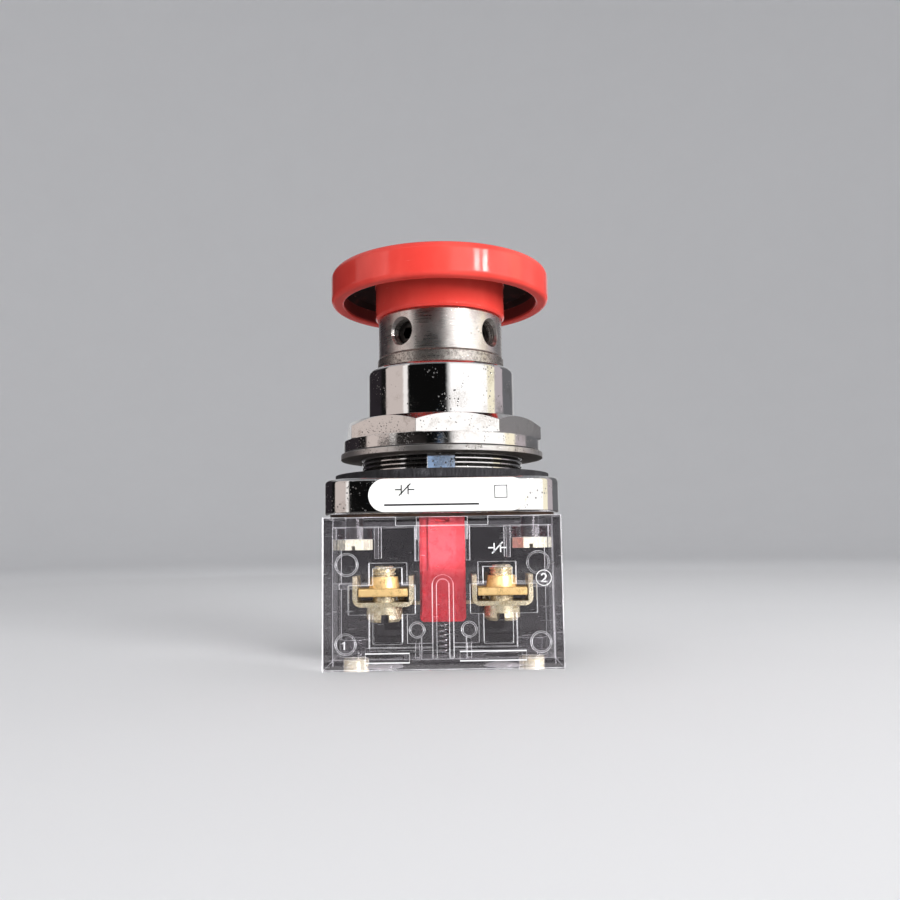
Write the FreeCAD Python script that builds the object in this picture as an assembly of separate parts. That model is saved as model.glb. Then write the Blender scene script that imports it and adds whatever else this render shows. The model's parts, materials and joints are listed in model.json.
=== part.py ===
"""Emergency stop button: a 30.5 mm heavy-duty push-pull panel operator with a mushroom head, and one
clear normally closed contact block behind it.

Frame: millimetres. The origin is on the push axis, in the plane where the panel seats on the gasket.
+Z points along the push axis to the mushroom head, -Y to the terminal side, +X to the right of that side.
"""

import FreeCAD, Part
import math
import os

V = FreeCAD.Vector
Z = V(0, 0, 1)

# ---- driving dimensions -------------------------------------------------------------------------
TRAVEL = 5.0                 # push-pull travel of the head, stem, pusher and contact plunger
RUN = 0.05                   # radial running clearance of a shaft in its guide

# threaded barrel and what clamps on it
THREAD_R = 15.0
THREAD_PITCH = 0.8
THREAD_DEPTH = 0.42
THREAD_TOP = 9.2
KEYWAY_WIDTH = 4.8
KEYWAY_FLOOR_R = 13.9
GASKET_R = 19.9
GASKET_THICK = 1.5
WASHER_R = 18.9
WASHER_THICK = 1.0
PANEL_GAP = 3.0              # gasket face to washer face as the part is stored
NUT_FLANGE_R = 18.4
NUT_FLANGE_THICK = 2.3
NUT_THICK = 5.7
NUT_CORNER_R = 18.8
NUT_SIDES = 8
NUT_TURN = 9.65              # degrees that one flat is turned from the terminal side

# chrome skirt above the barrel
SKIRT_R = 13.74
SKIRT_BORE_R = 12.0
SKIRT_TOP = 19.68
SKIRT_EDGE = 0.9
GUIDE_WEB = (2.0, 7.0)       # bottom and top of the web that guides the stem

# square base of the operator body
BASE_HALF = 20.2
BASE_CORNER_R = 8.0
BASE_TOP = -GASKET_THICK
BASE_BOTTOM = -7.5
BASE_WALL = 1.6
BASE_ROOF = 1.5
PLATE_THICK = 0.5

# label on the base's terminal side
LABEL_X = (-12.0, 14.2)
LABEL_HEIGHT = 5.5
LABEL_THICK = 0.15

# mushroom head
HEAD_R = 20.67
HEAD_RIM_BOTTOM = 32.6
HEAD_RIM_INNER_R = 18.3
HEAD_CAVITY_TOP = 36.3
HEAD_SHOULDER = 38.8
HEAD_CROWN = 39.9
HEAD_EDGE_R = 1.4
HEAD_LIP_R = 0.9             # rounding of the rim's lower edge outside
HEAD_INNER_LIP_R = 0.4       # and inside
HUB_R = 12.29
HUB_BOTTOM = 29.76
INSERT_R = 5.0

# collar, guide sleeve and stem
COLLAR_R = 11.72
COLLAR_BOTTOM = 22.0
COLLAR_HOLE_Z = 25.8
COLLAR_HOLE_R = 2.15
COLLAR_SINK_R = 2.55
COLLAR_TURN = 8.0            # degrees that the four set screw holes are turned from the diagonals
SLEEVE_R = SKIRT_BORE_R - RUN
SLEEVE_BORE_R = 9.4
SLEEVE_BOTTOM = GUIDE_WEB[1] + TRAVEL + 0.05
STEM_R = 4.0
STEM_END_R = 3.0
STEM_SHOULDER = -3.6

# detent in the guide web
DETENT_Z = 4.5
BALL_R = 1.05

# pusher under the stem
PUSHER_HALF = (3.4, 15.0)
PUSHER_THICK = 2.0

# contact block
BLOCK_HALF = 19.8
BLOCK_TOP = BASE_BOTTOM - PLATE_THICK
BLOCK_BOTTOM = -33.0
BLOCK_FRONT = -19.2
BLOCK_REAR = -5.0
COVER_THICK = 1.6
SEAM_GAP = 0.05              # between the cover and the shell it is snapped on
BLOCK_WALL = 1.6
NOTCH_HALF = 7.6
NOTCH_BOTTOM = -9.45
FASTENER_X = 15.1
FASTENER_Y = -12.1
INSERT_RING_R = 2.0          # tandem inserts: outside radius, bore radius, height
INSERT_RING_BORE_R = 1.25
INSERT_RING_HIGH = 1.1
INSERT_CLEAR_R = 1.7        # hole above each ring, wide enough for the second block's screw
EJECTOR_MARKS = ((1.3, 4.3, -26.6), (1.9, 15.9, -15.8), (1.75, 16.1, -28.8))    # radius, x and z of each pair

WINDOW_X = (6.72, 11.42)     # narrow opening of the cover in front of each terminal, and its raised rim
WINDOW_Z = (-28.7, -16.4)
WINDOW_RIM = 0.8
POCKET_X = (4.55, 15.45)     # wide opening across it, where the wire goes in under the clamp
POCKET_Z = (-23.9, -19.2)

# terminals
TERM_X = 10.0
TERM_Y = -13.0
SCREW_R = 2.0
SCREW_HEAD_R = 3.05
SCREW_HEAD = (-25.55, -22.95)
SCREW_TIP = -16.2
SADDLE_HALF = 5.1
SADDLE_TOP = -17.8
SADDLE_EAR = 0.78
SADDLE_FLOOR = (-22.95, -22.2)
BAR_HALF = 4.1
BAR_Z = (-21.25, -19.9)
BOSS_R = 2.65
BOSS_TOP = -18.0
TIP_X = 7.4
CONTACT_Y = -8.1

# contact plunger
PLUNGER_HALF = 3.85
PLUNGER_PAD_HALF = 2.35      # raised middle of the upper half
PLUNGER_FRONT = -15.6
PLUNGER_REAR = -6.7
PLUNGER_TOP = STEM_SHOULDER - PUSHER_THICK - 0.05
PLUNGER_BOTTOM = -25.5
SPRING_Y = -12.6


# ---- geometry helpers ---------------------------------------------------------------------------
def box(x, y, z):
    """A box from three (low, high) pairs."""
    return Part.makeBox(x[1] - x[0], y[1] - y[0], z[1] - z[0], V(x[0], y[0], z[0]))


def cyl(r, z, x=0.0, y=0.0):
    """A vertical cylinder of radius r between the two heights in z."""
    return Part.makeCylinder(r, z[1] - z[0], V(x, y, z[0]))


def tube(outer, inner, z, x=0.0, y=0.0):
    return cyl(outer, z, x, y).cut(cyl(inner, (z[0] - 1, z[1] + 1), x, y))


def prism(points, z):
    """A vertical prism on a closed outline of (x, y) points."""
    outline = [V(px, py, z[0]) for px, py in points]
    face = Part.Face(Part.makePolygon(outline + outline[:1]))
    return face.extrude(V(0, 0, z[1] - z[0]))


def polygon(count, corner_r, turn=0.0):
    """Corners of a regular polygon, with the middle of one side turned so far from -Y."""
    start = -90 + turn + 180 / count
    angles = [math.radians(start + 360 * i / count) for i in range(count)]
    return [(corner_r * math.cos(a), corner_r * math.sin(a)) for a in angles]


def turned(points):
    """A solid of revolution about Z from a closed outline of (radius, height) points."""
    outline = [V(r, 0, z) for r, z in points]
    return Part.Face(Part.makePolygon(outline + outline[:1])).revolve(V(0, 0, 0), Z, 360)


def rounded_square(half, corner, z):
    """A vertical square prism with round corners."""
    block = box((-half, half), (-half, half), z)
    uprights = [e for e in block.Edges if abs(e.tangentAt(e.FirstParameter).z) > 0.99]
    return block.makeFillet(corner, uprights)


def spin(shape, degrees, x=0.0, y=0.0):
    copy = shape.copy()
    copy.rotate(V(x, y, 0), Z, degrees)
    return copy


def moved(shape, x=0.0, y=0.0, z=0.0):
    copy = shape.copy()
    copy.translate(V(x, y, z))
    return copy


def mirrored(shape):
    """The shape on the other side of the YZ plane."""
    return shape.mirror(V(0, 0, 0), V(1, 0, 0))


def fuse(shapes):
    whole = shapes[0]
    for other in shapes[1:]:
        whole = whole.fuse(other)
    return whole.removeSplitter()


def cut(shape, tools):
    for tool in tools:
        shape = shape.cut(tool)
    return shape


def coil(radius, wire_r, z, turns, x=0.0, y=0.0):
    """A helical spring whose outside lies between the two heights in z."""
    low = z[0] + wire_r
    high = z[1] - wire_r
    helix = Part.makeHelix((high - low) / turns, high - low, radius)
    profile = Part.Wire(Part.makeCircle(wire_r, V(radius, 0, 0), V(0, 1, 0)))
    solid = Part.Wire(helix.Edges).makePipeShell([profile], True, True)
    return moved(solid, x, y, low)


# ---- mushroom head group ------------------------------------------------------------------------
def bend(x, z, radius, start):
    """A quarter circle about (x, z) in the XZ plane, from an angle in degrees."""
    return Part.Arc(*[V(x + radius * math.cos(math.radians(start + a)), 0,
                        z + radius * math.sin(math.radians(start + a))) for a in (0, 45, 90)]).toShape()


def mushroom_head():
    """Red head: a domed disc with a deep rim, and a hub that stands on the collar."""
    lip_outer = HEAD_R - HEAD_LIP_R
    lip_inner = HEAD_RIM_INNER_R + HEAD_INNER_LIP_R
    side_low = HEAD_RIM_BOTTOM + HEAD_LIP_R
    side_high = HEAD_SHOULDER - HEAD_EDGE_R
    shoulder = V(HEAD_R - HEAD_EDGE_R, 0, HEAD_SHOULDER)
    crown = V(0, 0, HEAD_CROWN)
    rise = HEAD_CROWN - HEAD_SHOULDER
    dome_r = (shoulder.x ** 2 + rise ** 2) / (2 * rise)
    half_turn = math.asin(shoulder.x / dome_r) / 2
    crown_mid = V(dome_r * math.sin(half_turn), 0, HEAD_CROWN - dome_r * (1 - math.cos(half_turn)))
    roof = V(HEAD_RIM_INNER_R - 1, 0, HEAD_CAVITY_TOP)
    corner = V(HEAD_RIM_INNER_R, 0, HEAD_CAVITY_TOP - 1)
    wire = Part.Wire([
        bend(lip_outer, side_low, HEAD_LIP_R, -90),
        Part.makeLine(V(HEAD_R, 0, side_low), V(HEAD_R, 0, side_high)),
        bend(shoulder.x, side_high, HEAD_EDGE_R, 0),
        Part.Arc(shoulder, crown_mid, crown).toShape(),
        Part.makeLine(crown, V(0, 0, HUB_BOTTOM)),
        Part.makeLine(V(0, 0, HUB_BOTTOM), V(HUB_R - 0.4, 0, HUB_BOTTOM)),
        Part.makeLine(V(HUB_R - 0.4, 0, HUB_BOTTOM), V(HUB_R, 0, HUB_BOTTOM + 0.4)),
        Part.makeLine(V(HUB_R, 0, HUB_BOTTOM + 0.4), V(HUB_R, 0, HEAD_CAVITY_TOP)),
        Part.makeLine(V(HUB_R, 0, HEAD_CAVITY_TOP), roof),
        Part.makeLine(roof, corner),
        Part.makeLine(corner, V(HEAD_RIM_INNER_R, 0, HEAD_RIM_BOTTOM + HEAD_INNER_LIP_R)),
        bend(lip_inner, HEAD_RIM_BOTTOM + HEAD_INNER_LIP_R, HEAD_INNER_LIP_R, 180),
        Part.makeLine(V(lip_inner, 0, HEAD_RIM_BOTTOM), V(lip_outer, 0, HEAD_RIM_BOTTOM)),
    ])
    body = Part.Face(wire).revolve(V(0, 0, 0), Z, 360)
    return body.cut(cyl(INSERT_R, (HUB_BOTTOM - 1, 36.6)))


def head_insert():
    """Threaded brass insert moulded into the hub, which takes the stem's upper thread."""
    insert = cyl(INSERT_R, (HUB_BOTTOM, 36.6))
    return insert.cut(cyl(STEM_END_R, (HUB_BOTTOM - 1, 36.0)))


def collar_hole():
    """One radial set screw hole with its countersink, pointing along -Y."""
    depth = COLLAR_R + 1
    bore = Part.makeCylinder(COLLAR_HOLE_R, depth, V(0, 0, COLLAR_HOLE_Z), V(0, -1, 0))
    mouth = V(0, -(COLLAR_R - 0.75), COLLAR_HOLE_Z)
    sink = Part.makeCone(COLLAR_HOLE_R, COLLAR_SINK_R + 0.4, 1.25, mouth, V(0, -1, 0))
    groove_tools = [
        Part.makeCylinder(COLLAR_HOLE_R + 0.22, 0.2, V(0, -(COLLAR_R - 1.2 - 0.5 * i), COLLAR_HOLE_Z),
                          V(0, -1, 0))
        for i in range(3)
    ]
    return fuse([bore, sink]).fuse(groove_tools)


def around(shape, angles):
    """Copies of the shape turned about the push axis."""
    return [spin(shape, a) for a in angles]


HOLE_ANGLES = [COLLAR_TURN + 45 + 90 * i for i in range(4)]


def head_collar():
    """Satin collar under the hub, with four radial set screw holes and a relieved underside."""
    edge = 0.35
    outline = [
        (STEM_R, COLLAR_BOTTOM + 1.2), (8.6, COLLAR_BOTTOM + 1.2), (8.6, COLLAR_BOTTOM),
        (COLLAR_R - 0.15, COLLAR_BOTTOM), (COLLAR_R, COLLAR_BOTTOM + 0.15),
        (COLLAR_R, HUB_BOTTOM - edge), (COLLAR_R - edge, HUB_BOTTOM), (STEM_R, HUB_BOTTOM),
    ]
    return cut(turned(outline), around(collar_hole(), HOLE_ANGLES))


def collar_set_screws():
    """Four hexagon socket set screws that lock the collar to the stem, sunk below its surface."""
    inner = STEM_R
    outer = COLLAR_R - 2.1
    screw = Part.makeCylinder(COLLAR_HOLE_R, outer - inner, V(0, -inner, COLLAR_HOLE_Z), V(0, -1, 0))
    socket = prism(polygon(6, 1.15), (0, 2.0))
    socket.rotate(V(0, 0, 0), V(1, 0, 0), 90)
    socket.translate(V(0, -(outer - 1.6), COLLAR_HOLE_Z))
    return Part.makeCompound(around(screw.cut(socket), HOLE_ANGLES))


def guide_sleeve():
    """Unplated sleeve under the collar that slides in the skirt's bore."""
    edge = 0.3
    return turned([
        (SLEEVE_BORE_R, SLEEVE_BOTTOM), (SLEEVE_R - edge, SLEEVE_BOTTOM), (SLEEVE_R, SLEEVE_BOTTOM + edge),
        (SLEEVE_R, COLLAR_BOTTOM - 0.2), (SLEEVE_R - 0.2, COLLAR_BOTTOM), (SLEEVE_BORE_R, COLLAR_BOTTOM),
    ])


def operator_stem():
    """Steel stem with two detent grooves, a ring groove, and a threaded end at each side."""
    shaft = cyl(STEM_R, (STEM_SHOULDER, HUB_BOTTOM))
    ends = [cyl(STEM_END_R, (HUB_BOTTOM, 35.6)), cyl(STEM_END_R, (STEM_SHOULDER - 4.1, STEM_SHOULDER))]
    stem = fuse([shaft] + ends)
    for height in (DETENT_Z, DETENT_Z + TRAVEL):
        groove = turned([(STEM_R - 0.4, height - 0.15), (STEM_R + 1, height - 1.55),
                         (STEM_R + 1, height + 1.55), (STEM_R - 0.4, height + 0.15)])
        stem = stem.cut(groove)
    return stem.cut(tube(STEM_R + 1, 3.2, (1.1, 1.95)))


def retaining_ring():
    """E-type ring in the stem's groove that stops it against the guide web when pulled."""
    ring = tube(5.6, 3.2, (1.15, 1.9))
    return ring.cut(box((-1.7, 1.7), (0, 8), (0, 3)))


def pusher_bar():
    """Crossbar on the stem's lower end that bears on a plunger at either side of the base."""
    top = STEM_SHOULDER
    bar = box((-PUSHER_HALF[0], PUSHER_HALF[0]), (-PUSHER_HALF[1], PUSHER_HALF[1]), (top - PUSHER_THICK, top))
    bar = fuse([bar, cyl(5.2, (top - PUSHER_THICK, top))])
    return bar.cut(cyl(STEM_END_R, (top - 5, top + 1)))


def pusher_nut():
    """Thin hexagon nut that holds the crossbar on the stem."""
    top = STEM_SHOULDER - PUSHER_THICK
    nut = prism(polygon(6, 4.6), (top - 1.9, top))
    return nut.cut(cyl(STEM_END_R, (top - 5, top + 1)))


# ---- operator body ------------------------------------------------------------------------------
def thread_outline():
    """Outline of the barrel and skirt, with one flat-crested ridge for each turn of thread."""
    floor = BASE_TOP - BASE_ROOF
    points = [(10.0, floor), (THREAD_R - THREAD_DEPTH, floor), (THREAD_R - THREAD_DEPTH, BASE_TOP)]
    crest = THREAD_PITCH * 0.3
    flank = THREAD_PITCH * 0.3
    z = BASE_TOP + 0.1
    while z + THREAD_PITCH < THREAD_TOP:
        points += [(THREAD_R - THREAD_DEPTH, z), (THREAD_R, z + flank), (THREAD_R, z + flank + crest),
                   (THREAD_R - THREAD_DEPTH, z + 2 * flank + crest)]
        z += THREAD_PITCH
    points += [(THREAD_R - THREAD_DEPTH, THREAD_TOP), (SKIRT_R, THREAD_TOP + 0.5)]
    steps = 5
    for i in range(steps + 1):
        a = math.radians(90 * i / steps)
        points.append((SKIRT_R - SKIRT_EDGE * (1 - math.cos(a)), SKIRT_TOP - SKIRT_EDGE * (1 - math.sin(a))))
    points += [(SKIRT_BORE_R + 0.2, SKIRT_TOP), (SKIRT_BORE_R, SKIRT_TOP - 0.2), (10.0, SKIRT_TOP - 0.2)]
    return points


def operator_body():
    """Die-cast body: hollow square base, threaded barrel with a keyway, and the skirt around the collar."""
    base = rounded_square(BASE_HALF, BASE_CORNER_R, (BASE_BOTTOM, BASE_TOP))
    for radius, z in ((0.7, BASE_TOP), (0.35, BASE_BOTTOM)):
        rim = [e for e in base.Edges if e.BoundBox.ZLength < 0.001 and abs(e.CenterOfMass.z - z) < 0.001]
        base = base.makeFillet(radius, rim)
    hollow = rounded_square(BASE_HALF - BASE_WALL, BASE_CORNER_R - BASE_WALL, (BASE_BOTTOM - 1, BASE_TOP - BASE_ROOF))
    base = base.cut(hollow)
    bosses = [cyl(3.4, (BASE_BOTTOM, BASE_TOP - 1), sx * FASTENER_X, sy * FASTENER_Y)
              for sx in (-1, 1) for sy in (-1, 1)]
    barrel = turned(thread_outline())
    core = cyl(10.5, (BASE_TOP - BASE_ROOF, GUIDE_WEB[1]))
    body = fuse([base, barrel, core] + bosses)
    body = body.cut(cyl(SKIRT_BORE_R, (GUIDE_WEB[1], SKIRT_TOP + 1)))
    body = body.cut(cyl(12.5, (BASE_BOTTOM - 1, GUIDE_WEB[0])))
    body = body.cut(cyl(STEM_R + RUN, (0, 10)))
    body = body.cut(tube(SKIRT_BORE_R + 0.95, SKIRT_BORE_R - 0.5, (16.4, 17.5)))
    keyway = box((-KEYWAY_WIDTH / 2, KEYWAY_WIDTH / 2), (-16, -KEYWAY_FLOOR_R), (BASE_TOP, THREAD_TOP + 0.2))
    body = body.cut(keyway)
    for turn in (0, 180):
        body = body.cut(spin(detent_bore(), turn))
    for sx in (-1, 1):
        for sy in (-1, 1):
            body = body.cut(cyl(1.5, (BASE_BOTTOM - 1, -3.2), sx * FASTENER_X, sy * FASTENER_Y))
    return body


def detent_bore():
    """Radial bore through the barrel and the guide web, along +X."""
    return Part.makeCylinder(BALL_R + 0.05, 14.0, V(2.0, 0, DETENT_Z), V(1, 0, 0))


def detent_balls():
    ball = Part.makeSphere(BALL_R, V(STEM_R + BALL_R + 0.02, 0, DETENT_Z))
    return Part.makeCompound([ball, spin(ball, 180)])


def detent_springs():
    """Short coil springs behind the two detent balls."""
    length = 6.2
    spring = coil(0.7, 0.17, (0, length), 9)
    spring.rotate(V(0, 0, 0), V(0, 1, 0), 90)
    spring = moved(spring, STEM_R + 2 * BALL_R + 0.04, 0, DETENT_Z)
    return Part.makeCompound([spring, spin(spring, 180)])


def detent_plugs():
    """Slotted grub screws that close the detent bores under the panel nut."""
    start = STEM_R + 2 * BALL_R + 0.04 + 6.2
    plug = Part.makeCylinder(BALL_R + 0.05, 1.9, V(start, 0, DETENT_Z), V(1, 0, 0))
    slot = box((start + 1.3, start + 3), (-2, 2), (DETENT_Z - 0.2, DETENT_Z + 0.2))
    plug = plug.cut(slot)
    return Part.makeCompound([plug, spin(plug, 180)])


def sleeve_seal():
    """Rubber ring in the skirt's groove, around the guide sleeve."""
    return Part.makeTorus(SKIRT_BORE_R + 0.48, 0.45, V(0, 0, 16.95))


def ring_nut():
    """Octagonal panel nut with a chamfered top and a round flange."""
    low = PANEL_GAP + WASHER_THICK
    mid = low + NUT_FLANGE_THICK
    top = low + NUT_THICK
    faces = prism(polygon(NUT_SIDES, NUT_CORNER_R, NUT_TURN), (mid, top))
    drop = 1.25
    slope = drop / math.tan(math.radians(40))
    chamfer = turned([(0, mid), (NUT_CORNER_R + 0.05, mid), (NUT_CORNER_R + 0.05, top - drop),
                      (NUT_CORNER_R + 0.05 - slope, top), (0, top)])
    flange = turned([(0, low), (NUT_FLANGE_R - 0.25, low), (NUT_FLANGE_R, low + 0.25), (NUT_FLANGE_R, mid), (0, mid)])
    nut = fuse([faces.common(chamfer), flange])
    nut = nut.cut(cyl(THREAD_R + 0.02, (low - 1, top + 1)))
    relief = Part.makeCone(THREAD_R + 0.02, THREAD_R + 0.82, 0.8, V(0, 0, top - 0.8))
    return nut.cut(relief)


def thrust_washer():
    z = (PANEL_GAP, PANEL_GAP + WASHER_THICK)
    edge = 0.06
    return turned([(THREAD_R + 0.2, z[0]), (WASHER_R - edge, z[0]), (WASHER_R, z[0] + edge),
                   (WASHER_R, z[1] - edge), (WASHER_R - edge, z[1]), (THREAD_R + 0.2, z[1])])


def panel_gasket():
    return tube(GASKET_R, THREAD_R + 0.2, (BASE_TOP, 0))


def rating_label():
    """Thin stadium-ended label that follows the base's side round its corner."""
    mid_z = (BASE_TOP + BASE_BOTTOM) / 2
    skin = rounded_square(BASE_HALF + LABEL_THICK, BASE_CORNER_R + LABEL_THICK, (BASE_BOTTOM, BASE_TOP))
    skin = skin.cut(rounded_square(BASE_HALF, BASE_CORNER_R, (BASE_BOTTOM - 1, BASE_TOP + 1)))
    r = LABEL_HEIGHT / 2
    y = -BASE_HALF - 2
    ends = [Part.makeCylinder(r, 6, V(x, y, mid_z), V(0, 1, 0)) for x in (LABEL_X[0] + r, LABEL_X[1] - r)]
    middle = box((LABEL_X[0] + r, LABEL_X[1] - r), (y, y + 6), (mid_z - r, mid_z + r))
    return skin.common(fuse([middle] + ends))


def base_plate():
    """Phenolic plate that closes the base, slotted for the pusher and the plungers."""
    z = (BLOCK_TOP, BASE_BOTTOM)
    plate = rounded_square(BASE_HALF - 0.9, BASE_CORNER_R - 0.9, z)
    plate = plate.cut(box((-4.6, 4.6), (-17.2, 17.2), (z[0] - 1, z[1] + 1)))
    plate = plate.cut(cyl(6.2, (z[0] - 1, z[1] + 1)))
    for sx in (-1, 1):
        for sy in (-1, 1):
            plate = plate.cut(cyl(1.7, (z[0] - 1, z[1] + 1), sx * FASTENER_X, sy * FASTENER_Y))
    return plate


# ---- contact block housing ----------------------------------------------------------------------
def both(shape):
    """The shape and its mirror image."""
    return [shape, mirrored(shape)]


def block_base():
    """Clear shell of the block: five walls, fastener bosses, plunger guides and terminal ledges."""
    front = BLOCK_FRONT + COVER_THICK + SEAM_GAP
    shell = box((-BLOCK_HALF, BLOCK_HALF), (front, BLOCK_REAR), (BLOCK_BOTTOM, BLOCK_TOP))
    inner_x = BLOCK_HALF - BLOCK_WALL
    inside = box((-inner_x, inner_x), (front - 1, BLOCK_REAR - BLOCK_WALL),
                 (BLOCK_BOTTOM + BLOCK_WALL + 0.1, BLOCK_TOP - BLOCK_WALL))
    shell = shell.cut(inside)
    solids = [shell]
    floor = BLOCK_BOTTOM + 0.5
    for x in (-FASTENER_X, FASTENER_X):
        solids.append(cyl(3.3, (-11.65, BLOCK_TOP - 0.5), x, FASTENER_Y))
        solids.append(cyl(2.6, (floor, -28.4), x, FASTENER_Y))
    rear = BLOCK_REAR - BLOCK_WALL + 0.2
    guide = box((3.95, 4.7), (-15.8, -10.6), (-15.4, BLOCK_TOP - 0.5))
    low_guide = box((3.95, 4.7), (-15.8, rear), (floor, -28.9))
    ledge = box((5.9, inner_x + 0.2), (-9.5, rear), (BAR_Z[0] + 1.0, BAR_Z[0] + 1.9))
    web = box((11.0, 11.75), (-12.0, rear), (-15.0, BLOCK_TOP - 0.5))
    for rib in (guide, low_guide, ledge, web):
        solids += both(rib)
    block = fuse(solids)
    cuts = [box((-4.3, 4.3), (-17.3, 0), (-11.8, BLOCK_TOP + 1))]
    cuts += both(box((6.0, 9.4), (-8, BLOCK_REAR - 0.8), (BAR_Z[0], BAR_Z[0] + 1.0)))
    cuts += [cyl(3.3, (BLOCK_BOTTOM - 1, BLOCK_BOTTOM + 3), x, TERM_Y) for x in (-TERM_X, TERM_X)]
    for x in (-FASTENER_X, FASTENER_X):
        cuts.append(cyl(1.65, (-12, BLOCK_TOP + 1), x, FASTENER_Y))
        cuts.append(cyl(INSERT_RING_R, (BLOCK_BOTTOM - 1, BLOCK_BOTTOM + INSERT_RING_HIGH), x, FASTENER_Y))
        cuts.append(cyl(INSERT_CLEAR_R, (BLOCK_BOTTOM - 1, -28.0), x, FASTENER_Y))
    return cut(block, cuts)


def ejector_mark(r, x, y, z):
    """Low ring that a mould pin leaves on the cover's inner face."""
    disc = Part.makeCylinder(r, 0.3, V(x, y - 0.1, z), V(0, 1, 0))
    return disc.cut(Part.makeCylinder(r - 0.25, 1, V(x, y, z), V(0, 1, 0)))


def block_cover():
    """Clear front of the block: notched at the top, with a stepped window in front of each terminal."""
    y = (BLOCK_FRONT, BLOCK_FRONT + COVER_THICK)
    plate = box((-BLOCK_HALF, BLOCK_HALF), y, (BLOCK_BOTTOM, BLOCK_TOP))
    uprights = [e for e in plate.Edges if abs(e.tangentAt(e.FirstParameter).z) > 0.99
                and e.CenterOfMass.y < BLOCK_FRONT + 0.1]
    plate = plate.makeFillet(0.4, uprights)
    frame = box((WINDOW_X[0] - WINDOW_RIM, WINDOW_X[1] + WINDOW_RIM), (y[1] - 0.1, y[1] + 1.1),
                (WINDOW_Z[0] - WINDOW_RIM, WINDOW_Z[1] + WINDOW_RIM))
    arch_outer = fuse([box((-1.75, 1.75), (y[1] - 0.1, y[1] + 1.2), (-31.2, -19.4)),
                       Part.makeCylinder(1.75, 1.3, V(0, y[1] - 0.1, -19.4), V(0, 1, 0))])
    arch_inner = fuse([box((-1.05, 1.05), (y[1], y[1] + 2), (-32, -19.4)),
                       Part.makeCylinder(1.05, 2, V(0, y[1], -19.4), V(0, 1, 0))])
    shelf = box((1.7, WINDOW_X[0]), (y[1] - 0.1, y[1] + 1.1), (WINDOW_Z[0] - WINDOW_RIM, WINDOW_Z[0] - 0.1))
    cover = fuse([plate, arch_outer.cut(arch_inner)] + both(frame) + both(shelf))
    for r, x, z in EJECTOR_MARKS:
        cover = fuse([cover] + both(ejector_mark(r, x, y[1], z)))
    window = box(WINDOW_X, (y[0] - 1, y[1] + 3), WINDOW_Z)
    wide = box(POCKET_X, (y[0] - 1, y[1] + 3), POCKET_Z)
    cuts = both(window) + both(wide)
    cuts.append(box((-NOTCH_HALF, NOTCH_HALF), (y[0] - 1, y[1] + 1), (NOTCH_BOTTOM, BLOCK_TOP + 1)))
    return cut(cover, cuts)


def mounting_screws():
    """Two brass hexagon head screws that hold the block to the body, slotted for a driver from below."""
    def one(x):
        head = prism([(px + x, py + FASTENER_Y) for px, py in polygon(6, 3.05, 4)], (-13.45, -11.65))
        shank = cyl(1.5, (-11.65, -4.2), x, FASTENER_Y)
        slot = box((x - 0.3, x + 0.3), (FASTENER_Y - 4, FASTENER_Y + 4), (-14, -12.75))
        return fuse([head, shank]).cut(slot)
    return Part.makeCompound([one(-FASTENER_X), one(FASTENER_X)])


def tandem_inserts():
    """Two threaded brass rings flush with the block's lower face, for a second block."""
    z = (BLOCK_BOTTOM, BLOCK_BOTTOM + INSERT_RING_HIGH)
    return Part.makeCompound([tube(INSERT_RING_R, INSERT_RING_BORE_R, z, x, FASTENER_Y)
                              for x in (-FASTENER_X, FASTENER_X)])


# ---- contacts -----------------------------------------------------------------------------------
def contact_plunger():
    """Red plunger: a flat bar with a relief at the top, a spring bore and a cross window for the bridge."""
    body = box((-PLUNGER_HALF, PLUNGER_HALF), (PLUNGER_FRONT, PLUNGER_REAR), (PLUNGER_BOTTOM, PLUNGER_TOP))
    feet = [e for e in body.Edges if abs(e.CenterOfMass.z - PLUNGER_BOTTOM) < 0.01
            and abs(abs(e.CenterOfMass.x) - PLUNGER_HALF) < 0.01]
    body = body.makeFillet(0.8, feet)
    cuts = [
        box((-1.25, 1.25), (PLUNGER_FRONT - 1, PLUNGER_FRONT + 1.2), (-8.95, -8.3)),
        box((-5, 5), (CONTACT_Y - 1.7, PLUNGER_REAR + 1), (-24.9, -21.5)),
        cyl(1.3, (PLUNGER_BOTTOM - 1, -19.0), 0, SPRING_Y),
    ]
    cuts += both(box((PLUNGER_HALF - 0.35, PLUNGER_HALF + 1), (PLUNGER_FRONT - 1, PLUNGER_FRONT + 0.5),
                     (PLUNGER_BOTTOM + 1.2, PLUNGER_TOP - 1)))
    cuts += both(box((PLUNGER_PAD_HALF, PLUNGER_HALF + 1), (PLUNGER_FRONT - 1, PLUNGER_FRONT + 0.35),
                     (-17.0, PLUNGER_TOP - 1)))
    return cut(body, cuts)


def plunger_spring():
    """Return spring between the block's floor and the plunger's bore."""
    return coil(0.95, 0.15, (BLOCK_BOTTOM + BLOCK_WALL + 0.1, -19.0), 14, 0, SPRING_Y)


def contact_bridge():
    """Moving contact bar carried across the plunger's window."""
    bar = box((-8.7, 8.7), (CONTACT_Y - 1.4, CONTACT_Y + 1.4), (-23.05, -22.45))
    ends = [e for e in bar.Edges if abs(abs(e.CenterOfMass.x) - 8.7) < 0.01 and abs(e.CenterOfMass.z + 22.75) < 0.01]
    return bar.makeFillet(0.9, ends)


def bridge_tips():
    return Part.makeCompound([cyl(1.2, (-22.45, -21.88), x, CONTACT_Y) for x in (-TIP_X, TIP_X)])


def bridge_spring():
    """Contact pressure spring under the bridge."""
    return coil(1.0, 0.18, (-24.9, -23.05), 2.5, 0, CONTACT_Y)


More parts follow.
